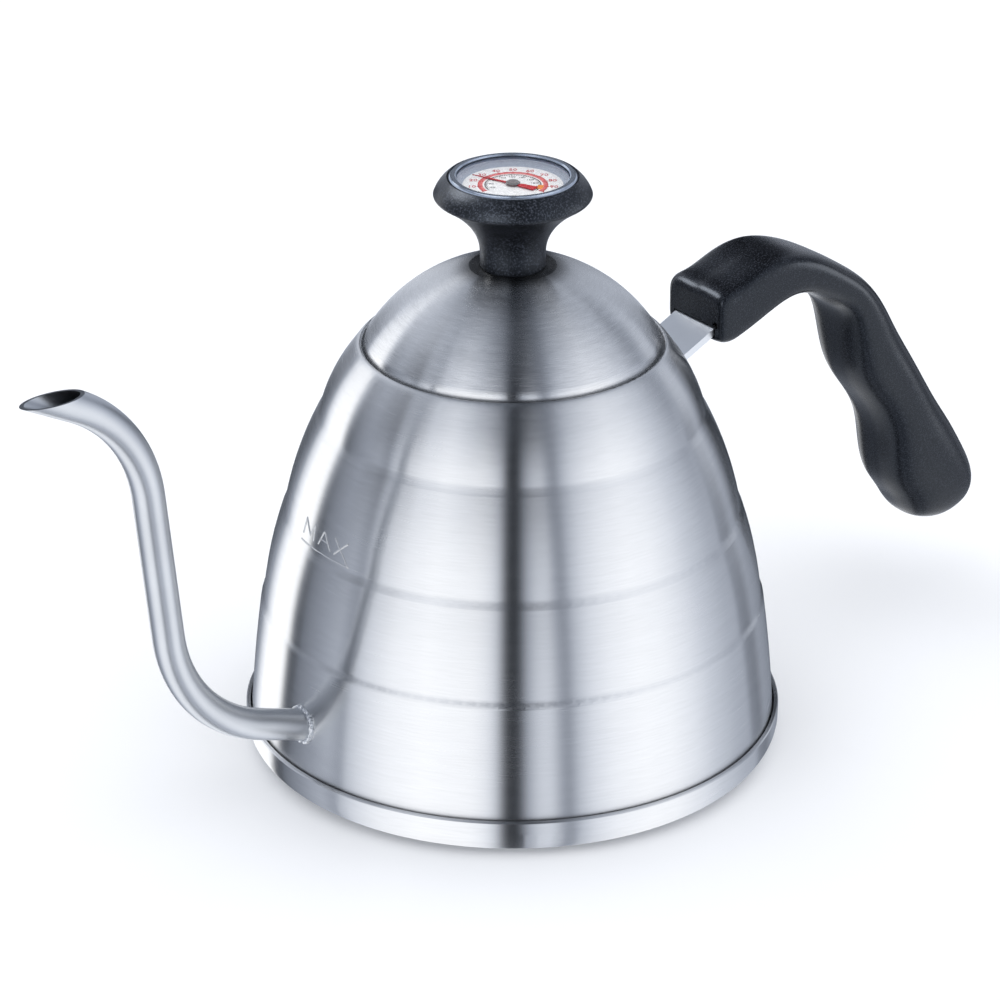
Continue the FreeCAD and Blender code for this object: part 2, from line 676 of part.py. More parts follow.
def pointer_hub():
    z0 = POINTER_Z + POINTER_T
    return revolve_points([(0, z0), (HUB_R, z0), (HUB_R, z0 + HUB_T / 2),
                           (HUB_R - 0.4, z0 + HUB_T), (0, z0 + HUB_T)])


def thermometer():
    floor = KNOB_CUP_Z + CASE_T
    side = CASE_R - CASE_T - GAP
    in_probe = PROBE_BORE_R - 0.02
    return {
        "thermometer_case": thermometer_case(),
        "probe_tube": probe_tube(),
        "probe_ferrule": tube(FERRULE_R, PROBE_R, floor, PROBE_TOP_Z),
        "shaft_bush": tube(in_probe, SHAFT_R + SHAFT_CLEARANCE, BUSH_Z[0], BUSH_Z[1]),
        "bimetal_coil": bimetal_coil(),
        "coil_anchor": tube(in_probe, 0, PROBE_TIP_Z + PROBE_TIP_T, ANCHOR_TOP_Z),
        "dial_spacer": tube(side, DIAL_SPACER_R, floor, DIAL_Z),
        "dial_plate": tube(DIAL_R, SHAFT_R + 0.3, DIAL_Z, DIAL_Z + DIAL_T),
        "dial_ring": dial_ring(),
        "lens_gasket": tube(LENS_R, LENS_R - 0.7, LENS_Z[0] - GASKET_T, LENS_Z[0]),
        "lens": tube(LENS_R, 0, LENS_Z[0], LENS_Z[1]),
        "bezel_ring": bezel_ring(),
        "pointer": pointer(),
        "pointer_hub": pointer_hub(),
        "pointer_shaft": tube(SHAFT_R, 0, SHAFT_FOOT_Z, POINTER_Z + POINTER_T),
    }


def kettle():
    return {
        "body_shell": body_shell(),
        "inside_floor": inside_floor(),
        "base_core": base_core(),
        "base_cap": base_cap(),
        "spout_tube": spout_tube(),
        "spout_weld": spout_weld(),
        "handle_bracket": handle_bracket(),
        "bracket_weld": bracket_weld(),
        "handle_grip": handle_grip(),
        "grip_screws": grip_screws(),
    }


def lid():
    under_pad = LID_PAD_Z - WALL
    return {
        "lid_dome": lid_dome(),
        "lid_skirt": lid_skirt(),
        "knob": knob(),
        "knob_gasket": tube(KNOB_GASKET_R, STUD_R + GAP, LID_PAD_Z, KNOB_FOOT_Z),
        "knob_stud": tube(STUD_R, STUD_BORE_R, STUD_Z[0], STUD_Z[1]),
        "stud_washer": tube(WASHER_R, STUD_R + GAP, under_pad - WASHER_T, under_pad),
        "knob_nut": knob_nut(),
    }


os.makedirs("parts", exist_ok=True)
for group in (kettle(), lid(), thermometer()):
    for name, shape in group.items():
        save(shape, name)
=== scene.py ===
"""Looks of the gooseneck kettle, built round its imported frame. Metres; +Z up, the spout along -X.

The camera and the studio share one azimuth: the direction VIEW_AZIMUTH, measured from +Y towards
+X, is where the camera looks. The studio is a world of bright cards with dark slots between them, laid
out for that direction. It stays where it is when the camera moves.
"""
import math
import bmesh
import bpy
from mathutils import Matrix, Vector


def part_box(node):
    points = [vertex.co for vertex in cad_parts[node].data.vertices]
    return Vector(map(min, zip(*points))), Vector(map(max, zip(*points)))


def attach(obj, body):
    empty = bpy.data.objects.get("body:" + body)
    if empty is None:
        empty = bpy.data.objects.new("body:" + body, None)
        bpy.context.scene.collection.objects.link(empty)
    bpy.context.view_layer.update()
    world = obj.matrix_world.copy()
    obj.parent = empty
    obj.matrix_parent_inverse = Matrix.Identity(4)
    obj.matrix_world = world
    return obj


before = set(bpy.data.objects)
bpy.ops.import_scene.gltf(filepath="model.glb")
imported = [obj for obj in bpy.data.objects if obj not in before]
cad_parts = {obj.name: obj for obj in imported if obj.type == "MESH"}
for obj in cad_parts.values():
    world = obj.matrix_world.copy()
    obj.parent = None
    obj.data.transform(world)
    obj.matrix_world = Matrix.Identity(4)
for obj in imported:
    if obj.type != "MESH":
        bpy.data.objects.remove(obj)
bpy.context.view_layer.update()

MM = 0.001

# ---- camera -------------------------------------------------------------------------------
VIEW_AZIMUTH = math.radians(37.6)
CAMERA_DISTANCE = 1.0445      # from the kettle's axis, level
CAMERA_HEIGHT = 0.5623
CAMERA_PITCH = math.radians(25.26)
CAMERA_YAW = math.radians(0.1865)
CAMERA_LENS = 153.0

# ---- studio --------------------------------------------------------------------------------
# Brightness that a polished face shows, seen along VIEW_AZIMUTH: one list for each sine of its tilt
# upwards, by its turn to the right of the camera in degrees. make_studio turns faces into directions.
STUDIO = [
    (0.26, [
        (-90, 0.05), (-86, 0.08), (-82, 0.22), (-78, 0.42), (-75, 1.00), (-72, 1.45), (-62.5, 1.50),
        (-60.5, 0.12), (-58, 0.06), (-56, 0.22), (-50, 0.38), (-44, 0.58), (-42, 0.50), (-40, 0.40),
        (-38.5, 0.76), (-34, 1.06), (-29, 1.28), (-20, 1.42), (-9, 1.36), (-5.5, 1.20), (-3.5, 0.90),
        (-1.6, 0.02), (1.6, 0.02), (3.4, 0.55), (6, 0.92), (8.5, 0.95), (10.8, 0.46), (12.4, 0.30),
        (14.6, 0.72), (18, 1.02), (23, 1.24), (30, 1.36), (37, 1.30), (44, 1.08), (50, 0.82),
        (58, 0.60), (63.5, 0.52), (65, 0.28), (69, 0.20), (73, 0.38), (79, 0.34), (84, 0.24), (90, 0.05),
    ]),
    (0.55, [
        (-90, 0.06), (-82, 0.12), (-78.5, 0.26), (-76, 1.10), (-72, 1.44), (-63, 1.46), (-61, 0.75),
        (-58, 0.22), (-50, 0.34), (-46, 0.16), (-40, 0.03), (-37.5, 0.28), (-30, 0.36), (-27.5, 0.74),
        (-20, 0.98), (-17, 0.86), (-12, 0.58), (-6, 0.28), (-3, 0.12), (0, 0.02), (4, 0.02),
        (9, 0.14), (15, 0.38), (18, 0.60), (24, 0.84), (32, 1.06), (40, 1.00), (50, 0.74),
        (57, 0.50), (61, 0.34), (64, 0.46), (68, 0.80), (73, 0.76), (78, 0.22), (84, 0.08), (90, 0.05),
    ]),
    (0.76, [
        (-90, 0.60), (-74, 0.74), (-66, 1.06), (-60, 0.80), (-55, 0.74), (-42, 0.76), (-33, 0.60),
        (-24, 0.50), (-15, 0.44), (-6, 0.22), (0, 0.10), (6, 0.08), (12, 0.18), (21, 0.44),
        (33, 0.68), (42, 0.58), (50, 0.46), (57, 0.24), (62, 0.38), (70, 0.50), (80, 0.58), (90, 0.58),
    ]),
    (0.93, [
        (-90, 0.92), (-57, 0.92), (-50, 0.60), (-40, 0.36), (-28, 0.22), (-10, 0.24), (-4, 0.16), (2, 0.08),
        (12, 0.12), (30, 0.14), (40, 0.36), (50, 0.62), (90, 0.64),
    ]),
    (0.97, [
        (-90, 0.26), (-57, 0.26), (-40, 0.16), (-20, 0.08), (0, 0.03), (20, 0.06), (40, 0.14), (90, 0.24),
    ]),
    (0.985, [(-90, 0.05), (0, 0.02), (90, 0.05)]),
]
EYE_LEVEL = math.radians(24.8)         # how high the camera stands, seen from the kettle's middle
DIM_CARD_TINT = (0.89, 1.005, 1.25)    # tint of a card with no light on it
WHITE_PER_LIGHT = 0.62                 # how fast a brighter card turns white

# ---- surface detail --------------------------------------------------------------------------
STEEL_TINT = (0.995, 1.0, 1.005)
STEEL_BRIGHTNESS = 0.755
SATIN_TINT = (0.97, 1.0, 1.04)
PLASTIC_TINT = (0.86, 0.96, 1.22)
PLASTIC_SHINE_TINT = (0.74, 0.84, 1.0, 1.0)
FINE_BRUSH = (9.0, 2600.0)             # noise scale round the axis, and along the profile
COARSE_BRUSH = (3.0, 420.0)
# Painted reflection: inside these radii the steel's base colour is darkened as a painted dark reflection of
# the knob.
PAINTED_REFLECTION_START, PAINTED_REFLECTION_END = 10.5 * MM, 17 * MM   # radii between which the steel under the knob brightens
NEAR_AXIS = 0.5 * MM                   # keeps the turned coordinates finite
STEEL_RELIEF = 0.02 * MM               # height of the bumps
PLASTIC_RELIEF = 0.08 * MM


# ---- node helpers ---------------------------------------------------------------------------
class Nodes:
    """A node tree being wired up: each call makes a node, and links what it is given."""

    def __init__(self, tree):
        self.tree = tree
        tree.nodes.clear()

    def add(self, kind, inputs=(), **settings):
        node = self.tree.nodes.new(kind)
        for key, value in settings.items():
            setattr(node, key, value)
        for key, value in dict(inputs).items():
            self.put(node, key, value)
        return node

    def put(self, node, key, value):
        socket = node.inputs[key]
        if isinstance(value, bpy.types.NodeSocket):
            self.tree.links.new(value, socket)
        else:
            socket.default_value = value

    def math(self, operation, a, b=None):
        inputs = {0: a} if b is None else {0: a, 1: b}
        return self.add("ShaderNodeMath", inputs, operation=operation).outputs[0]

    def ramp(self, factor, stops):
        node = self.add("ShaderNodeValToRGB", {0: factor})
        elements = node.color_ramp.elements
        while len(elements) < len(stops):
            elements.new(0.5)
        for element, (place, colour) in zip(elements, stops):
            element.position = place
            element.color = colour
        return node.outputs[0]

    def noise(self, vector, scale, detail=2.0, roughness=0.5):
        return self.add("ShaderNodeTexNoise", {"Vector": vector, "Scale": scale, "Detail": detail,
                                               "Roughness": roughness}).outputs[0]

    def bump(self, height, strength, distance):
        return self.add("ShaderNodeBump", {"Strength": strength, "Distance": distance,
                                           "Height": height}).outputs[0]


def grey(value, tint=(1.0, 1.0, 1.0)):
    return (value * tint[0], value * tint[1], value * tint[2], 1.0)


def cool(value):
    """A card's brightness as a colour: the dimmer, the bluer."""
    share = min(value * WHITE_PER_LIGHT, 1.0)
    return grey(value, [dim + (1.0 - dim) * share for dim in DIM_CARD_TINT])


def remap(nodes, factor, low, high):
    """A 0 to 1 factor as a number from low to high."""
    return nodes.add("ShaderNodeMapRange", {0: factor, 3: low, 4: high}).outputs[0]


def new_material(name):
    material = bpy.data.materials.new(name)
    material.use_nodes = True
    nodes = Nodes(material.node_tree)
    surface = nodes.add("ShaderNodeBsdfPrincipled")
    nodes.add("ShaderNodeOutputMaterial", {0: surface.outputs[0]})
    return material, nodes, surface


def axis_distance(nodes):
    """Object coordinates x, y and z, and the distance from the axis."""
    place = nodes.add("ShaderNodeTexCoord").outputs["Object"]
    x, y, z = nodes.add("ShaderNodeSeparateXYZ", {0: place}).outputs
    squares = nodes.math("ADD", nodes.math("MULTIPLY", x, x), nodes.math("MULTIPLY", y, y))
    radius = nodes.math("SQRT", squares)
    return x, y, z, radius


def turned_coordinates(nodes, round_scale, profile_scale):
    """Coordinates that follow a turned surface: slow round the axis, fast along its profile."""
    x, y, z, radius = axis_distance(nodes)
    safe = nodes.math("MAXIMUM", radius, NEAR_AXIS)
    along = nodes.math("SUBTRACT", radius, z)
    return nodes.add("ShaderNodeCombineXYZ", {
        0: nodes.math("MULTIPLY", nodes.math("DIVIDE", x, safe), round_scale),
        1: nodes.math("MULTIPLY", nodes.math("DIVIDE", y, safe), round_scale),
        2: nodes.math("MULTIPLY", along, profile_scale),
    }).outputs[0]


def brushed_steel(name, roughness, depth, streaks, bump, painted_reflection_share):
    """Steel brushed round the axis: fine streaks, spread along the profile by the grooves.

    depth is how far the streaks vary the brightness, streaks how far they vary the roughness, and
    the last argument the share of brightness left close to the axis: painted shade there, a painted
    dark reflection of what stands over the steel.
    """
    material, nodes, surface = new_material(name)
    fine = nodes.noise(turned_coordinates(nodes, *FINE_BRUSH), 1.0, 3.0, 0.6)
    coarse = nodes.noise(turned_coordinates(nodes, *COARSE_BRUSH), 1.0, 3.0, 0.55)
    cloud = nodes.noise(nodes.add("ShaderNodeTexCoord").outputs["Object"], 28.0, 3.0, 0.5)
    mixed = nodes.math("ADD", nodes.math("MULTIPLY", fine, 0.6), nodes.math("MULTIPLY", coarse, 0.4))
    dark = grey((1 - depth) * STEEL_BRIGHTNESS, STEEL_TINT)
    light = grey((1 + depth) * STEEL_BRIGHTNESS, STEEL_TINT)
    colour = nodes.ramp(mixed, [(0.36, dark), (0.64, light)])
    # Painted shade: the base colour darkens towards the axis, a painted dark reflection of what stands over
    # the steel.
    radius = axis_distance(nodes)[3]
    painted_reflection_fade = nodes.add("ShaderNodeMapRange", {0: radius, 1: PAINTED_REFLECTION_START, 2: PAINTED_REFLECTION_END, 3: painted_reflection_share, 4: 1.0},
                     interpolation_type="SMOOTHSTEP").outputs[0]
    colour_with_painted_reflection = nodes.add("ShaderNodeMix", {0: 1.0, 6: colour, 7: painted_reflection_fade}, data_type="RGBA",
                       blend_type="MULTIPLY")
    rough = nodes.math("ADD", remap(nodes, mixed, roughness - streaks, roughness + streaks),
                       remap(nodes, cloud, -0.02, 0.02))
    lift = nodes.bump(mixed, bump, STEEL_RELIEF)
    tangent = nodes.add("ShaderNodeTangent", direction_type="RADIAL", axis="Z").outputs[0]
    nodes.put(surface, "Base Color", colour_with_painted_reflection.outputs[2])
    nodes.put(surface, "Roughness", rough)
    nodes.put(surface, "Normal", lift)
    nodes.put(surface, "Tangent", tangent)
    nodes.put(surface, "Metallic", 1.0)
    nodes.put(surface, "Anisotropic", 1.0)
    nodes.put(surface, "Anisotropic Rotation", 0.25)
    return material


def satin_steel(name, value, roughness, grain=1400.0, bump=0.2):
    """Steel with a fine, even satin grain."""
    material, nodes, surface = new_material(name)
    place = nodes.add("ShaderNodeTexCoord").outputs["Object"]
    grain_noise = nodes.noise(place, grain, 2.0, 0.6)
    cloud = nodes.noise(place, 60.0, 3.0, 0.5)
    dark = grey(value * 0.94, SATIN_TINT)
    light = grey(value * 1.04, SATIN_TINT)
    colour = nodes.ramp(cloud, [(0.3, dark), (0.7, light)])
    rough = nodes.math("ADD", remap(nodes, grain_noise, roughness - 0.05, roughness + 0.05),
                       remap(nodes, cloud, -0.03, 0.03))
    nodes.put(surface, "Base Color", colour)
    nodes.put(surface, "Roughness", rough)
    nodes.put(surface, "Normal", nodes.bump(grain_noise, bump, STEEL_RELIEF))
    nodes.put(surface, "Metallic", 1.0)
    return material


def grained_plastic(name, value, roughness, grain, specks, bump, shine):
    """Moulded plastic with a spark-eroded grain of varying tone, whose peaks are specks times as bright:
    painted glints.
    """
    material, nodes, surface = new_material(name)
    place = nodes.add("ShaderNodeTexCoord").outputs["Object"]
    grain_noise = nodes.noise(place, grain, 2.0, 0.7)
    cloud = nodes.noise(place, 40.0, 2.0, 0.5)
    # The grain's own tone varies, and its brightest peaks are painted glints of light caught by the grain.
    tones_and_glints = [(0.42, value * 0.6), (0.52, value), (0.62, value * specks)]
    colour = nodes.ramp(grain_noise, [(stop, grey(shade, PLASTIC_TINT)) for stop, shade in tones_and_glints])
    nodes.put(surface, "Base Color", colour)
    rough = nodes.math("ADD", remap(nodes, grain_noise, roughness - 0.06, roughness + 0.06),
                       remap(nodes, cloud, -0.03, 0.03))
    nodes.put(surface, "Roughness", rough)
    nodes.put(surface, "Normal", nodes.bump(grain_noise, bump, PLASTIC_RELIEF))
    nodes.put(surface, "Specular IOR Level", shine)
    nodes.put(surface, "Specular Tint", PLASTIC_SHINE_TINT)
    return material


def print_ink(name, colour, roughness=0.45, metal=0.0):
    """An even coat with a little mottle, as of printed ink or lacquer."""
    material, nodes, surface = new_material(name)
    place = nodes.add("ShaderNodeTexCoord").outputs["Object"]
    mottle = nodes.noise(place, 900.0, 2.0, 0.5)
    dark = tuple(c * 0.9 for c in colour) + (1.0,)
    light = tuple(min(c * 1.05, 1.0) for c in colour) + (1.0,)
    nodes.put(surface, "Base Color", nodes.ramp(mottle, [(0.3, dark), (0.7, light)]))
    nodes.put(surface, "Roughness", remap(nodes, mottle, roughness - 0.05, roughness + 0.05))
    nodes.put(surface, "Metallic", metal)
    return material


def clear_glass(name):
    """Clear moulded plastic that lets the lamps reach what is under it."""
    material, nodes, surface = new_material(name)
    place = nodes.add("ShaderNodeTexCoord").outputs["Object"]
    haze = nodes.noise(place, 120.0, 2.0, 0.5)
    nodes.put(surface, "Base Color", nodes.ramp(haze, [(0.3, grey(0.97)), (0.7, grey(1.0))]))
    nodes.put(surface, "Roughness", remap(nodes, haze, 0.0, 0.02))
    nodes.put(surface, "Transmission Weight", 1.0)
    nodes.put(surface, "IOR", 1.49)
    shadow_ray = nodes.add("ShaderNodeLightPath").outputs["Is Shadow Ray"]
    clear = nodes.add("ShaderNodeBsdfTransparent", {0: grey(0.97)})
    mixed = nodes.add("ShaderNodeMixShader", {0: shadow_ray, 1: surface.outputs[0], 2: clear.outputs[0]})
    nodes.put(nodes.tree.nodes["Material Output"], "Surface", mixed.outputs[0])
    return material


def paint(obj, material):
    obj.data.materials.clear()
    obj.data.materials.append(material)


# ---- materials ------------------------------------------------------------------------------
steel_body = brushed_steel("brushed_steel", roughness=0.26, depth=0.035, streaks=0.035, bump=0.2,
                           painted_reflection_share=1.0)
# The lid's base colour is darkened close to the axis, a painted dark reflection of the knob.
steel_lid = brushed_steel("brushed_steel_lid", roughness=0.26, depth=0.10, streaks=0.06, bump=0.3,
                          painted_reflection_share=0.15)
steel_satin = satin_steel("satin_steel", 0.62, roughness=0.34)
steel_strap = satin_steel("strap_steel", 0.76, roughness=0.42, grain=2200.0, bump=0.6)
steel_inner = satin_steel("inner_steel", 0.62, roughness=0.35)
steel_weld = satin_steel("weld_steel", 0.70, roughness=0.30, grain=700.0, bump=0.8)
steel_bezel = print_ink("bezel_satin", (0.46, 0.52, 0.62), roughness=0.16, metal=0.75)
brass = satin_steel("brass", 0.6, roughness=0.3)
black_knob = grained_plastic("black_knob", 0.005, roughness=0.34, grain=2000.0, specks=8.0, bump=0.7,
                             shine=0.40)
black_grip = grained_plastic("black_grip", 0.004, roughness=0.27, grain=2300.0, specks=5.0, bump=0.3,
                             shine=0.36)
silicone = grained_plastic("silicone", 0.012, roughness=0.55, grain=900.0, specks=2.0, bump=0.1,
                           shine=0.4)
# The case wall's dark blue-grey is a painted reflection in the clear lens's thick edge; the dial spacer and
# lens gasket share it.
case_wall_painted_reflection = print_ink("case_wall_painted_reflection", (0.13, 0.165, 0.24), roughness=0.30)
# The dial ring's grey is painted shade: the shadowed zone at the dial's edge.
painted_shade_ring = print_ink("dial_ring_painted_shade", (0.42, 0.47, 0.56), roughness=0.35)
dial_white = print_ink("dial_white", (0.86, 0.87, 0.88))
ink_red = print_ink("ink_red", (0.50, 0.022, 0.03))
ink_pink = print_ink("ink_pink", (0.74, 0.19, 0.19))
ink_black = print_ink("ink_black", (0.012, 0.012, 0.015))
ink_orange = print_ink("ink_orange", (0.80, 0.26, 0.03))
pointer_red = print_ink("pointer_red", (0.48, 0.015, 0.025), roughness=0.35)
hub_paint = print_ink("hub_paint", (0.16, 0.155, 0.16), roughness=0.35)
glass = clear_glass("lens_glass")

FINISHES = {
    "body_shell": steel_body, "base_cap": steel_body, "lid_dome": steel_lid, "inside_floor": steel_inner,
    "base_core": steel_inner, "lid_skirt": steel_inner, "spout_tube": steel_satin, "spout_weld": steel_weld,
    "bracket_weld": steel_weld, "handle_bracket": steel_strap, "handle_grip": black_grip,
    "grip_screws": steel_inner,
    "knob": black_knob, "knob_gasket": silicone, "knob_stud": steel_inner, "stud_washer": steel_inner,
    "knob_nut": steel_inner, "thermometer_case": case_wall_painted_reflection, "dial_spacer": case_wall_painted_reflection, "dial_ring": painted_shade_ring,
    "probe_tube": steel_satin, "probe_ferrule": brass, "shaft_bush": brass, "bimetal_coil": brass,
    "coil_anchor": brass, "dial_plate": dial_white, "lens_gasket": case_wall_painted_reflection, "lens": glass,
    "bezel_ring": steel_bezel, "pointer": pointer_red, "pointer_hub": hub_paint,
    "pointer_shaft": steel_inner,
}
for node_name, finish in FINISHES.items():
    paint(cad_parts[node_name], finish)


# ---- lumps in the weld beads, and a soft edge on the strap ------------------------------------
LUMP_SIZE = 1.1 * MM
LUMP_HEIGHT = 0.9 * MM
STRAP_EDGE = 0.25 * MM
lumps = bpy.data.textures.new("weld_lumps", "CLOUDS")
lumps.noise_scale = LUMP_SIZE
for node_name in ("spout_weld", "bracket_weld"):
    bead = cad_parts[node_name]
    divide = bead.modifiers.new("divide", "SUBSURF")
    divide.subdivision_type = "SIMPLE"
    divide.levels = divide.render_levels = 2
    rough = bead.modifiers.new("lumps", "DISPLACE")
    rough.texture = lumps
    rough.texture_coords = "LOCAL"
    rough.strength = LUMP_HEIGHT
    rough.mid_level = 0.42
strap_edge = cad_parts["handle_bracket"].modifiers.new("edge", "BEVEL")
strap_edge.width = STRAP_EDGE
strap_edge.segments = 2
strap_edge.limit_method = "ANGLE"
strap_edge.angle_limit = math.radians(40)


# ---- printed dial ----------------------------------------------------------------------------
DIAL_UP = math.radians(90) - VIEW_AZIMUTH          # where the dial's top points, from +X
SCALE_HALF = math.radians(122.5)                   # the scale runs this far to both sides of it
ARC_STEPS = 90
PRINT_SINK = 0.02 * MM                             # ink reaches this far into the plate
PRINT_RISE = 0.03 * MM                             # and this far above it, for each layer
# Sizes in mm. A numeral is its height and its middle's radius, a mark its inner radius, outer radius
# and width, and a line or band its inner and outer radius.
RED_NUMERAL = (2.3, 10.9)
RED_MARK_TENS = (8.0, 9.6, 0.30)
RED_MARK_TWOS = (8.5, 9.25, 0.12)
RED_LINE = (9.1, 9.28)
PINK_BAND = (8.0, 9.1)
ORANGE_ZONE = (6.6, 8.2)
ORANGE_FROM, ORANGE_TO = 88, 97                    # degrees Celsius
BLACK_LINE = (7.25, 7.5)
BLACK_MARK_FOURS = (6.75, 7.5, 0.17)
BLACK_MARK_TWENTIES = (6.5, 7.5, 0.25)
BLACK_NUMERAL = (1.35, 5.7)
dial_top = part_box("dial_plate")[1].z


def dial_angle(celsius):
    return DIAL_UP + SCALE_HALF - 2 * SCALE_HALF * celsius / 100


def finished(name, mesh, material, body):
    """An object for a new mesh, painted, riding on its body."""
    piece = bpy.data.objects.new(name, mesh)
    bpy.context.scene.collection.objects.link(piece)
    paint(piece, material)
    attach(piece, body)
    return piece


def printed(name, faces, material, layer=1):
    """Thin ink on the dial: faces are lists of (x, y) in metres, each raised into a slab."""
    ink = bmesh.new()
    low = dial_top - PRINT_SINK
    high = dial_top + PRINT_RISE * layer
    for outline in faces:
        under = [ink.verts.new((x, y, low)) for x, y in outline]
        over = [ink.verts.new((x, y, high)) for x, y in outline]
        ink.faces.new(over)
        ink.faces.new(under[::-1])
        count = len(outline)
        for i in range(count):
            j = (i + 1) % count
            ink.faces.new((under[i], under[j], over[j], over[i]))
    bmesh.ops.recalc_face_normals(ink, faces=ink.faces)
    mesh = bpy.data.meshes.new(name)
    ink.to_mesh(mesh)
    ink.free()
    return finished(name, mesh, material, "lid")


def polar(radius, angle):
    return (radius * math.cos(angle), radius * math.sin(angle))


def arc_band(inner, outer, start, end, steps):
    """Quads of a ring sector from start to end, radii in mm."""
    quads = []
    for i in range(steps):
        a = start + (end - start) * i / steps
        b = start + (end - start) * (i + 1) / steps
        corners = ((inner, a), (outer, a), (outer, b), (inner, b))
        quads.append([polar(radius * MM, angle) for radius, angle in corners])
    return quads


def tick(inner, outer, width, angle):
    """A radial bar, its sizes in mm."""
    half = width / 2 * MM
    along = (math.cos(angle), math.sin(angle))
    across = (-along[1] * half, along[0] * half)
    ends = []
    for radius, side in ((inner, -1), (outer, -1), (outer, 1), (inner, 1)):
        ends.append((along[0] * radius * MM + across[0] * side, along[1] * radius * MM + across[1] * side))
    return ends


def numeral(text, size, radius, angle):
    """Upright digits, as polygons, centred at a radius and angle on the dial."""
    curve = bpy.data.curves.new("numeral", "FONT")
    curve.body = text
    curve.size = size * MM
    curve.align_x = "CENTER"
    curve.align_y = "CENTER"
    curve.resolution_u = 3
    maker = bpy.data.objects.new("numeral", curve)
    mesh = bpy.data.meshes.new_from_object(maker)
    turn = Matrix.Rotation(DIAL_UP - math.pi / 2, 3, "Z")
    cx, cy = polar(radius * MM, angle)
    polygons = []
    for face in mesh.polygons:
        corners = [turn @ mesh.vertices[i].co for i in face.vertices]
        polygons.append([(c.x + cx, c.y + cy) for c in corners])
    bpy.data.objects.remove(maker)
    bpy.data.curves.remove(curve)
    bpy.data.meshes.remove(mesh)
    return polygons


def fahrenheit_angle(value):
    return dial_angle((value - 32) / 1.8)


def print_dial():
    start, end = dial_angle(0), dial_angle(100)
    red = []
    for value in range(0, 101, 10):
        red += numeral(str(value), *RED_NUMERAL, dial_angle(value))
        red.append(tick(*RED_MARK_TENS, dial_angle(value)))
    for value in range(0, 101, 2):
        red.append(tick(*RED_MARK_TWOS, dial_angle(value)))
    red += arc_band(*RED_LINE, start, end, ARC_STEPS)
    printed("print_red_scale", red, ink_red, 2)
    printed("print_red_band", arc_band(*PINK_BAND, start, end, ARC_STEPS), ink_pink)
    black = arc_band(*BLACK_LINE, start, end, ARC_STEPS)
    for value in range(40, 213, 4):
        black.append(tick(*BLACK_MARK_FOURS, fahrenheit_angle(value)))
    for value in range(40, 213, 20):
        black += numeral(str(value), *BLACK_NUMERAL, fahrenheit_angle(value))
        black.append(tick(*BLACK_MARK_TWENTIES, fahrenheit_angle(value)))
    printed("print_black_scale", black, ink_black)
    zone = arc_band(*ORANGE_ZONE, dial_angle(ORANGE_FROM), dial_angle(ORANGE_TO), 12)
    printed("print_orange_arc", zone, ink_orange, 3)


print_dial()


# ---- fill mark pressed out of the wall -------------------------------------------------------
MARK_STROKES = [               # (mm round the wall to the left of the camera, mm up)
    [(75.0, 72.0), (74.5, 76.4), (70.7, 73.0), (68.9, 76.4), (68.4, 72.1)],
    [(65.7, 72.3), (63.6, 76.5), (59.6, 72.3)],
    [(64.9, 73.8), (60.9, 73.8)],
    [(58.4, 76.5), (52.4, 71.5)],
    [(52.6, 76.4), (57.8, 72.2)],
    [(75.6, 70.1), (51.2, 70.4), (52.8, 71.4)],
]
MARK_ROUND_R = 66.0 * MM       # radius that the strokes' lengths round the wall are measured at
STROKE_R = 0.27 * MM
STROKE_SINK = 0.07 * MM
STROKE_STEP = 0.4 * MM
RAY_START = 200 * MM           # outside the wall


def wall_point(along, up):
    """The point and normal of the body's wall, by a ray towards its axis."""
    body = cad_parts["body_shell"]
    turn = math.pi + (math.pi / 2 - VIEW_AZIMUTH) - along / MARK_ROUND_R
    out = Vector((math.cos(turn), math.sin(turn), 0))
    _, point, normal, _ = body.ray_cast(out * RAY_START + Vector((0, 0, up)), -out)
    return point, normal


def press_mark():
    curve = bpy.data.curves.new("mark", "CURVE")
    curve.dimensions = "3D"
    curve.bevel_depth = STROKE_R
    curve.bevel_resolution = 3
    curve.use_fill_caps = True
    for stroke in MARK_STROKES:
        spots = []
        for (a0, z0), (a1, z1) in zip(stroke, stroke[1:]):
            count = max(2, round(math.hypot(a1 - a0, z1 - z0) * MM / STROKE_STEP))
            spots += [(a0 + (a1 - a0) * i / count, z0 + (z1 - z0) * i / count) for i in range(count)]
        spots.append(stroke[-1])
        spline = curve.splines.new("POLY")
        spline.points.add(len(spots) - 1)
        for spot, (along, up) in zip(spline.points, spots):
            point, normal = wall_point(along * MM, up * MM)
            spot.co = (*(point - normal * STROKE_SINK), 1)
    maker = bpy.data.objects.new("mark", curve)
    mesh = bpy.data.meshes.new_from_object(maker)
    bpy.data.objects.remove(maker)
    mesh.shade_smooth()
    return finished("fill_mark", mesh, steel_body, "kettle")


press_mark()


# ---- floor, studio, camera ------------------------------------------------------------------
FLOOR_HALF = 6.0
FLOOR_BRIGHTNESS = 0.90
LIGHT_AIM = Vector((0, 0, 0.08))
OVERHEAD_LIGHT = ("overhead", (0.1, 0.1, 1.6), 3.6, 54.0)    # name, place, size, power
PLASTIC_LIGHTS = [             # the same: highlights on the two black mouldings only
    ("plastic_back", (-0.30, 0.60, 0.75), 0.40, 4.5),
    ("plastic_left", (-0.70, -0.35, 0.45), 0.40, 1.8),
    ("plastic_right", (1.00, -0.60, 0.10), 0.50, 2.4),
]


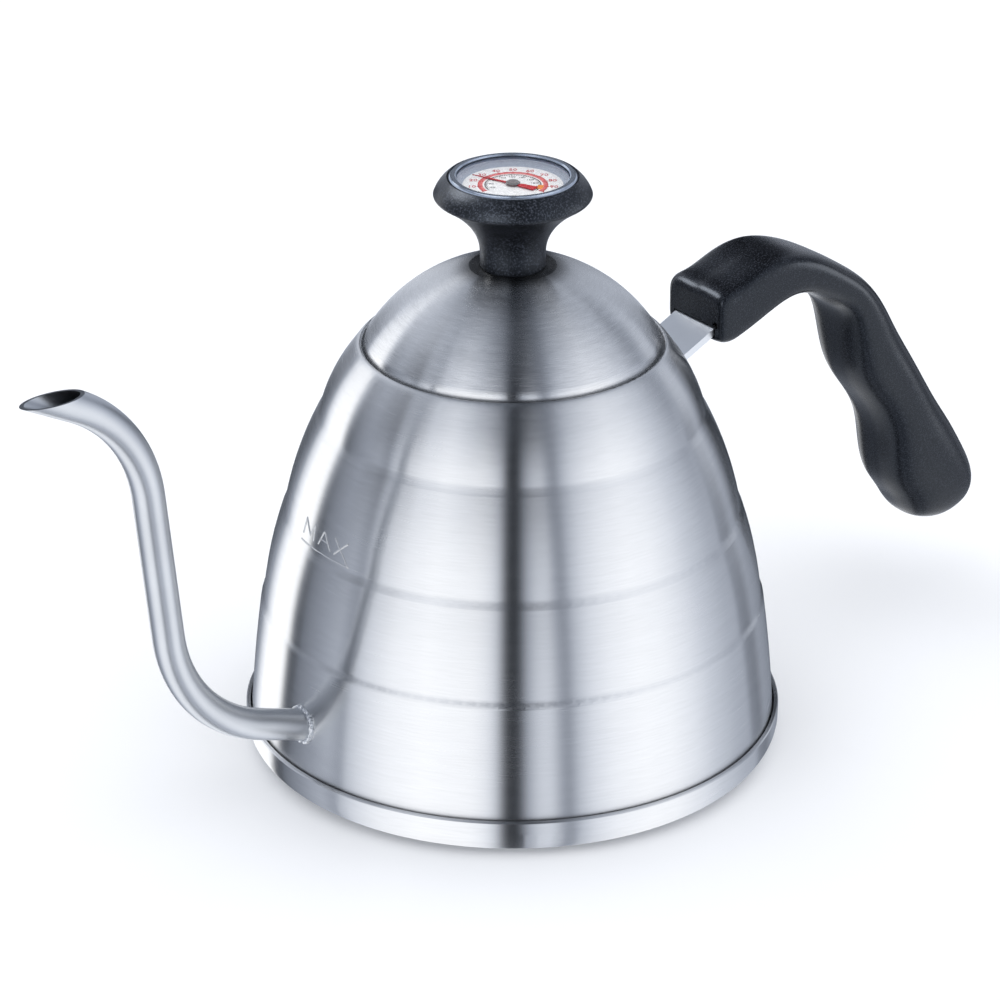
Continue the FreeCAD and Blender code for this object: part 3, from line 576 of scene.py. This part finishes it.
def make_floor():
    mesh = bpy.data.meshes.new("floor")
    half = FLOOR_HALF
    corners = [(-half, -half, 0), (half, -half, 0), (half, half, 0), (-half, half, 0)]
    mesh.from_pydata(corners, [], [(0, 1, 2, 3)])
    floor = bpy.data.objects.new("floor", mesh)
    bpy.context.scene.collection.objects.link(floor)
    material, nodes, surface = new_material("floor_white")
    nodes.put(surface, "Base Color", grey(FLOOR_BRIGHTNESS))
    nodes.put(surface, "Roughness", 0.9)
    paint(floor, material)
    floor.visible_glossy = False


def turn_ramp(nodes, place, cards):
    """Brightness by turn, in two ramps because one holds at most 32 stops."""
    stops = [((degrees + 90) / 180, cool(value)) for degrees, value in cards]
    half = len(stops) // 2
    left = nodes.ramp(place, stops[:half + 1])
    right = nodes.ramp(place, stops[half:])
    side = nodes.math("GREATER_THAN", place, stops[half][0])
    return nodes.add("ShaderNodeMix", {0: side, 6: left, 7: right}, data_type="RGBA").outputs[2]


def make_studio():
    """White cards and dark slots round the object; what stands behind the object is plain."""
    world = bpy.data.worlds.new("studio")
    bpy.context.scene.world = world
    world.use_nodes = True
    nodes = Nodes(world.node_tree)
    direction = nodes.add("ShaderNodeTexCoord").outputs["Generated"]
    level = math.cos(EYE_LEVEL)
    eye = (-math.sin(VIEW_AZIMUTH) * level, -math.cos(VIEW_AZIMUTH) * level, math.sin(EYE_LEVEL))
    halfway = nodes.add("ShaderNodeVectorMath", {0: direction, 1: eye}, operation="ADD").outputs[0]
    facing = nodes.add("ShaderNodeVectorMath", {0: halfway}, operation="NORMALIZE").outputs[0]
    x, y, z = nodes.add("ShaderNodeSeparateXYZ", {0: facing}).outputs
    right = nodes.math("SUBTRACT", nodes.math("MULTIPLY", x, math.cos(VIEW_AZIMUTH)),
                       nodes.math("MULTIPLY", y, math.sin(VIEW_AZIMUTH)))
    near = nodes.math("ADD", nodes.math("MULTIPLY", x, -math.sin(VIEW_AZIMUTH)),
                      nodes.math("MULTIPLY", y, -math.cos(VIEW_AZIMUTH)))
    turn = nodes.math("ARCTAN2", right, nodes.math("ABSOLUTE", near))
    place = nodes.math("ADD", nodes.math("DIVIDE", turn, math.pi), 0.5)
    low, cards = STUDIO[0]
    shown = turn_ramp(nodes, place, cards)
    for high, cards in STUDIO[1:]:
        rise = nodes.add("ShaderNodeMapRange", {0: z, 1: low, 2: high},
                         interpolation_type="SMOOTHSTEP").outputs[0]
        upper = turn_ramp(nodes, place, cards)
        shown = nodes.add("ShaderNodeMix", {0: rise, 6: shown, 7: upper}, data_type="RGBA").outputs[2]
        low = high
    studio = nodes.add("ShaderNodeBackground", {0: shown, 1: 1.0})
    plain = nodes.add("ShaderNodeBackground", {0: grey(1.0), 1: 1.0})
    seen = nodes.add("ShaderNodeLightPath").outputs["Is Camera Ray"]
    both = nodes.add("ShaderNodeMixShader", {0: seen, 1: studio.outputs[0], 2: plain.outputs[0]})
    nodes.add("ShaderNodeOutputWorld", {0: both.outputs[0]})


def make_light(name, location, size, power):
    data = bpy.data.lights.new(name, "AREA")
    data.size = size
    data.energy = power
    light = bpy.data.objects.new(name, data)
    light.location = location
    light.visible_glossy = False
    light.rotation_euler = (LIGHT_AIM - Vector(location)).to_track_quat("-Z", "Y").to_euler()
    bpy.context.scene.collection.objects.link(light)
    return light


def make_camera():
    data = bpy.data.cameras.new("camera")
    data.sensor_width = 36.0
    data.lens = CAMERA_LENS
    data.clip_start = 0.05
    data.clip_end = 20.0
    camera = bpy.data.objects.new("camera", data)
    camera.location = (-CAMERA_DISTANCE * math.sin(VIEW_AZIMUTH), -CAMERA_DISTANCE * math.cos(VIEW_AZIMUTH),
                       CAMERA_HEIGHT)
    camera.rotation_euler = (math.pi / 2 - CAMERA_PITCH, 0, CAMERA_YAW - VIEW_AZIMUTH)
    bpy.context.scene.collection.objects.link(camera)
    bpy.context.scene.camera = camera


def light_mouldings():
    """Lamps that reach, and are mirrored by, the knob and the grip only."""
    mouldings = bpy.data.collections.new("plastic_only")
    for node_name in ("knob", "handle_grip"):
        mouldings.objects.link(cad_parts[node_name])
    for settings in PLASTIC_LIGHTS:
        lamp = make_light(*settings)
        lamp.visible_glossy = True
        lamp.light_linking.receiver_collection = mouldings


make_floor()
make_studio()
light_mouldings()
make_light(*OVERHEAD_LIGHT)
make_camera()
bpy.context.scene.view_settings.view_transform = "Standard"
